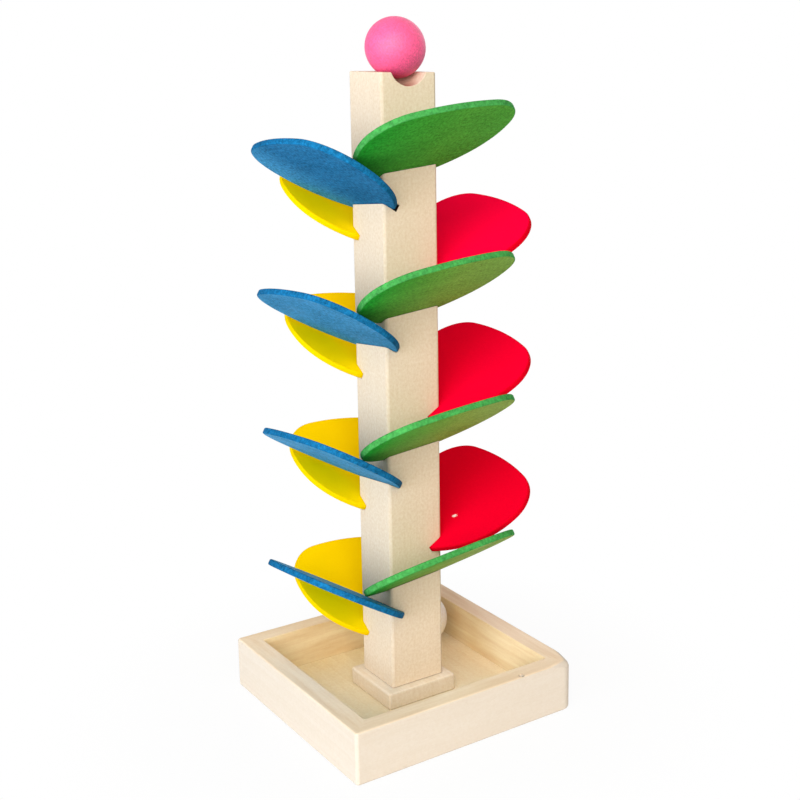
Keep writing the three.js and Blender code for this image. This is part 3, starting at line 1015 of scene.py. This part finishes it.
def sand_corner(frame_block):
    """Rounds the top of the tray's front right corner, with flat strokes from all round it."""
    tray = settings().tray
    aside = -RAIL_LOW.y - tray.soft_corner
    core = Vector((aside, -aside, RAIL_HIGH.z - tray.sanded))
    with editing(frame_block):
        for bearing in SANDED_BEARINGS:
            out = Vector((math.cos(bearing), math.sin(bearing), 0))
            for rise in SANDED_RISES:
                stroke = math.cos(rise) * out + Vector((0, 0, math.sin(rise)))
                saw_off(core + (tray.soft_corner - tray.sanded) * out + tray.sanded * stroke, stroke)


class MARBLERUN_OT_rails(bpy.types.Operator):
    """Shape the tray's frame and part it into four mitred rails"""

    bl_idname = "marblerun.rails"
    bl_label = "Tray rails"

    def execute(self, context):
        tray, wear_and_shade = settings().tray, settings().wear_and_shade
        half, top = -RAIL_LOW.y, RAIL_HIGH.z
        inner = half - tray.rail_thickness
        rebate = inner + tray.rebate_width
        frame_block = add_block("tray_frame", Vector((-half, -half, 0)), Vector((half, half, top)))

        def is_soft(edge):
            return all(end.x > 0 > end.y for end in ends(edge))

        round_edges(frame_block, tray.corner, 6, lambda edge: upright(edge) and not is_soft(edge))
        round_edges(frame_block, tray.soft_corner, 10, lambda edge: upright(edge) and is_soft(edge))
        round_edges(frame_block, tray.outer_edge, 4, at_height(top, 0))
        sand_corner(frame_block)
        well_low, well_high = Vector((-inner, -inner, -top)), Vector((inner, inner, 2 * top))
        cut_away(frame_block, add_block("well", well_low, well_high))
        round_edges(
            frame_block, tray.inner_edge, 3,
            lambda edge: level(ends(edge), 2, top)
            and all(max(abs(end.x), abs(end.y)) < inner + CLOSE for end in ends(edge)),
        )
        seat = FLOOR_HIGH.z + tray.glue_gap
        rebate_high = Vector((rebate, rebate, seat))
        cut_away(frame_block, add_block("rebate", -rebate_high, rebate_high))
        nick = Vector((wear_and_shade.nick_along, wear_and_shade.nick_inset - half, top))
        # The rails take lit and shaded copies of their wood, painted light
        wood = wood_finish(
            "rail_wood", rail_zones, pith=(0, -0.02, -0.013), figure=RAIL_FIGURE, nick=nick,
        )
        for index, side in enumerate(RAIL_SIDES):
            rail = copy_piece(frame_block, f"rail_{side}")
            turn = Matrix.Rotation(QUARTER_TURN * index, 4, "Z")
            with editing(rail):
                for lean in (-1, 1):
                    saw_off(turn @ Vector((0, -tray.glue_gap / 4, 0)), turn @ Vector((lean, 1, 0)))
            if side == "front":
                clear_bench()
                bpy.ops.mesh.primitive_ico_sphere_add(
                    subdivisions=3, radius=wear_and_shade.nick_radius, location=nick,
                )
                cut_away(rail, start_piece("nick"))
                clear_slivers(rail)
            lay_grain(rail, turn.inverted(), BOARD_STEP * index)
            hand_over(rail, f"tray_rail_{side}", "stand", wood)
        discard(frame_block)
        return {"FINISHED"}


def screw_profile(grow):
    """Half outline of the countersunk screw, grown by a clearance for its hole."""
    small = settings().small
    shank = small.screw_shank / 2 + grow
    head = SCREW_HIGH.x + grow
    low, high = SCREW_LOW.z, SCREW_HIGH.z + grow
    neck = low + small.screw_head_height + grow
    shoulder = high - small.screw_tip
    return low, neck, shoulder, high, shank, head


def screw_hole():
    """Cutter for the screw's hole, with the head's recess open to the underside."""
    small = settings().small
    low, neck, shoulder, high, shank, head = screw_profile(small.screw_clearance)
    profile = [(0, -low), (head, -low), (head, low), (shank, neck), (shank, shoulder), (0, high)]
    return turn_profile("screw_hole", profile, steps=40)


class MARBLERUN_OT_floor(bpy.types.Operator):
    """Cut the tray's floor panel and drill it"""

    bl_idname = "marblerun.floor"
    bl_label = "Tray floor"

    def execute(self, context):
        tray, finish = settings().tray, settings().finish
        panel = add_block("floor_panel", FLOOR_LOW, FLOOR_HIGH)
        round_edges(panel, tray.floor_edge, 2, lambda edge: not upright(edge))
        cut_away(panel, screw_hole())
        lay_grain(panel, Matrix.Rotation(-QUARTER_TURN, 4, "Z"), offset=(0.21, 0.0, 0.0))
        # The floor panel's wood is made lighter, painted light
        wood = wood_finish("floor_wood", finish.floor_wood, pith=(0, 0.02, 0.036), ring_scale=70.0)
        hand_over(panel, "tray_floor", "stand", wood)
        return {"FINISHED"}


class MARBLERUN_OT_plinth(bpy.types.Operator):
    """Shape the plinth under the post"""

    bl_idname = "marblerun.plinth"
    bl_label = "Plinth"

    def execute(self, context):
        tray, finish = settings().tray, settings().finish
        block = add_block("plinth_block", PLINTH_LOW, PLINTH_HIGH)
        round_edges(block, tray.plinth_corner, 8, upright)
        round_edges(block, tray.plinth_edge, 4, at_height(PLINTH_HIGH.z, PLINTH_LOW.z))
        cut_away(block, screw_hole())
        lay_grain(block, Matrix.Rotation(QUARTER_TURN, 4, "Z"), offset=(0.11, 0.3, 0.0))
        faces = block.data.polygons
        sawn = [END_GRAIN * (abs(face.normal.y) > MAIN_DIRECTION) for face in faces]
        mark(block, "burn", "FACE", sawn)
        wood = wood_finish("plinth_wood", finish.plinth_wood, pith=(0, -0.012, 0.027), ring_scale=110.0)
        hand_over(block, "plinth", "stand", wood)
        return {"FINISHED"}


class MARBLERUN_OT_screw(bpy.types.Operator):
    """Turn the countersunk screw and sink its cross recess"""

    bl_idname = "marblerun.screw"
    bl_label = "Screw"

    def execute(self, context):
        small, finish = settings().small, settings().finish
        low, neck, shoulder, high, shank, head = screw_profile(0.0)
        core = shank * THREAD_CORE
        rim, bare = small.screw_rim, neck + small.screw_plain
        profile = [(0, low), (head - rim, low), (head, low + rim), (shank, neck), (shank, bare)]
        height = bare + small.screw_runout
        while height + small.screw_pitch < shoulder:
            profile += [(core, height), (core, height + THREAD_FOOT * small.screw_pitch)]
            profile += [(shank, height + THREAD_CREST * small.screw_pitch)]
            height += small.screw_pitch
        profile += [(core, height), (core, shoulder), (0, high)]
        screw = turn_profile("steel_screw", profile, steps=40)
        across, depth = small.cross_length / 2, small.cross_depth
        arm = small.cross_width / 2
        for reach_x, reach_y in ((across, arm), (arm, across)):
            low_corner = Vector((-reach_x, -reach_y, low - depth))
            cut_away(screw, add_block("cross", low_corner, Vector((reach_x, reach_y, low + depth))))
        clear_slivers(screw)
        lay_grain(screw, Matrix.Identity(4), (0.0, 0.0, 0.0))
        hand_over(screw, "post_screw", "stand", steel_finish("screw_steel", finish.steel))
        return {"FINISHED"}


# Balls

def turn_ball(name, low, high, board, offset):
    """A turned ball with a small flat at each end, its grain laid and set in its place."""
    radius = (high.x - low.x) / 2
    flat = settings().small.ball_flat
    corner = Vector((radius,) * 3)
    ball = add_block(name, -corner, corner)
    with editing(ball):
        bpy.ops.mesh.subdivide(number_cuts=31)
    apply_modifier(
        ball, "CAST", cast_type="SPHERE", factor=1.0, radius=0.0, use_radius_as_size=False, size=radius,
    )
    with editing(ball):
        for end in (-1, 1):
            height = end * (radius - flat)
            pick(ball, "VERT", lambda vertex: vertex.co.z * end > radius - flat)
            bpy.ops.transform.resize(value=(1, 1, 0), center_override=(0, 0, height))
    lay_grain(ball, board, offset)
    ball.data.transform(Matrix.Translation((low + high) / 2))
    return ball


class MARBLERUN_OT_balls(bpy.types.Operator):
    """Turn the pink launch ball and the plain ball in the tray"""

    bl_idname = "marblerun.balls"
    bl_label = "Balls"

    def execute(self, context):
        finish = settings().finish
        board = Matrix.Rotation(PINK_ASKEW, 4, "X")
        pink = turn_ball("ball_pink", PINK_LOW, PINK_HIGH, board, offset=(0.5, 0.4, 0.0))
        paint = paint_finish("pink_paint", finish.pink, cloud=0.36, gloss=0.45, speck=1200.0)
        hand_over(pink, "pink_ball", "launch_ball", paint)
        board = Matrix.Rotation(PLAIN_ASKEW, 4, "Y")
        plain = turn_ball("ball_plain", PLAIN_LOW, PLAIN_HIGH, board, offset=(0.7, 0.2, 0.0))
        # The plain ball's wood is made lighter, painted light
        wood = wood_finish("ball_wood", finish.ball_wood, pith=(0, -0.19, 0.011), ring_scale=120.0)
        hand_over(plain, "wood_ball", "tray_ball", wood)
        return {"FINISHED"}


# Stage

def seen_ray(tree):
    """One for what the camera sees, straight on or in gloss and glass."""
    path = add_node(tree, "ShaderNodeLightPath")
    seen = arithmetic(tree, "MAXIMUM", path.outputs["Is Camera Ray"], path.outputs["Is Glossy Ray"])
    return arithmetic(tree, "MAXIMUM", seen, path.outputs["Is Transmission Ray"])


def lay_floor():
    """A pale floor that turns white away from the toy and keeps its shadow."""
    clear_bench()
    bpy.ops.mesh.primitive_plane_add(size=STUDIO_FLOOR_SIZE, location=(0, 0, -STUDIO_FLOOR_DROP))
    floor = start_piece("studio_floor")
    material = bpy.data.materials.new("studio_floor")
    material.use_nodes = True
    tree = material.node_tree
    tree.nodes.clear()
    fade = spread(tree, distance_from(tree, (0, 0, 0)), *SHADOW_REACH, SHADOW_WHITE, 1.0)
    white = arithmetic(tree, "MULTIPLY", seen_ray(tree), fade)
    matt = add_node(tree, "ShaderNodeBsdfDiffuse", {"Color": STUDIO_FLOOR_COLOUR})
    glow = add_node(tree, "ShaderNodeEmission", {"Color": WHITE, "Strength": 1.0})
    mix = add_node(
        tree, "ShaderNodeMixShader",
        {0: white, 1: matt.outputs["BSDF"], 2: glow.outputs["Emission"]},
    )
    output = add_node(tree, "ShaderNodeOutputMaterial", {"Surface": mix.outputs["Shader"]})
    output.is_active_output = True
    floor.data.materials.append(material)


def light_sky(strength):
    """Even light from all round, white where it is seen."""
    world = bpy.data.worlds.new("studio")
    world.use_nodes = True
    tree = world.node_tree
    tree.nodes.clear()
    soft = add_node(tree, "ShaderNodeBackground", {"Color": SKY_TINT, "Strength": strength})
    white = add_node(tree, "ShaderNodeBackground", {"Color": WHITE, "Strength": 1.0})
    mix = add_node(
        tree, "ShaderNodeMixShader",
        {0: seen_ray(tree), 1: soft.outputs["Background"], 2: white.outputs["Background"]},
    )
    add_node(tree, "ShaderNodeOutputWorld", {"Surface": mix.outputs["Shader"]})
    bpy.context.scene.world = world


def hang_lamp(name, direction, watts, tint):
    """A square lamp that looks at the middle of the post."""
    place = LAMP_AIM + Vector(direction).normalized() * LAMP_DISTANCE
    clear_bench()
    bpy.ops.object.light_add(type="AREA", location=place)
    lamp = bpy.context.active_object
    lamp.name = name
    lamp.rotation_mode = "QUATERNION"
    lamp.rotation_quaternion = Vector(direction).to_track_quat("Z", "Y")
    lamp.data.size = LAMP_SIZE
    lamp.data.energy = watts
    lamp.data.color = tint


def stand_camera(stage):
    """The camera at the photograph's viewing angle."""
    a, e = stage.azimuth, stage.elevation
    back = Vector((math.sin(a) * math.cos(e), -math.cos(a) * math.cos(e), math.sin(e)))
    right = Vector((0, 0, 1)).cross(back).normalized()
    up = back.cross(right)
    c, s = math.cos(stage.roll), math.sin(stage.roll)
    axes = Matrix((right * c + up * s, up * c - right * s, back)).transposed()
    clear_bench()
    bpy.ops.object.camera_add()
    camera = bpy.context.active_object
    camera.name = "camera"
    camera.matrix_world = Matrix.Translation(stage.place) @ axes.to_4x4()
    camera.data.sensor_width = SENSOR_WIDTH
    camera.data.lens = stage.lens
    camera.data.shift_x = stage.shift_x
    camera.data.shift_y = stage.shift_y
    camera.data.clip_start, camera.data.clip_end = 0.01, 50.0
    bpy.context.scene.camera = camera


class MARBLERUN_OT_stage(bpy.types.Operator):
    """Lay the floor, hang the lamps and stand the camera"""

    bl_idname = "marblerun.stage"
    bl_label = "Stage"

    def execute(self, context):
        stage = settings().stage
        context.scene.view_settings.view_transform = "Standard"
        lay_floor()
        light_sky(stage.sky)
        for name, direction, tint in LAMPS:
            hang_lamp(name, direction, getattr(stage, name), tint)
        stand_camera(stage)
        return {"FINISHED"}


PIECES = (
    MARBLERUN_OT_stage,
    MARBLERUN_OT_floor,
    MARBLERUN_OT_rails,
    MARBLERUN_OT_plinth,
    MARBLERUN_OT_screw,
    MARBLERUN_OT_post,
    MARBLERUN_OT_petals,
    MARBLERUN_OT_balls,
)


class MARBLERUN_PT_pieces(bpy.types.Panel):
    """Pieces of the marble run"""

    bl_idname = "MARBLERUN_PT_pieces"
    bl_label = "Marble run"
    bl_space_type = "VIEW_3D"
    bl_region_type = "UI"
    bl_category = "Marble run"

    def draw(self, context):
        for piece in PIECES:
            self.layout.operator(piece.bl_idname)


GROUPS = (
    PetalSizes, PostSizes, TraySizes, SmallSizes, Finishes, WearAndShadeSettings, StageSettings,
    MarbleRunSettings,
)


def register():
    """Registers the settings, the operators and the panel."""
    for group in (*GROUPS, *PIECES, MARBLERUN_PT_pieces):
        bpy.utils.register_class(group)
    bpy.types.Scene.marble_run = PointerProperty(type=MarbleRunSettings)


def unregister():
    """Takes the settings, the operators and the panel away again."""
    del bpy.types.Scene.marble_run
    for group in reversed((*GROUPS, *PIECES, MARBLERUN_PT_pieces)):
        bpy.utils.unregister_class(group)


def main():
    """Builds the marble run piece by piece."""
    register()
    bpy.ops.marblerun.stage()
    bpy.ops.marblerun.floor()
    bpy.ops.marblerun.rails()
    bpy.ops.marblerun.plinth()
    bpy.ops.marblerun.screw()
    bpy.ops.marblerun.post()
    bpy.ops.marblerun.petals()
    bpy.ops.marblerun.balls()
    clear_bench()


if __name__ == "__main__":
    main()
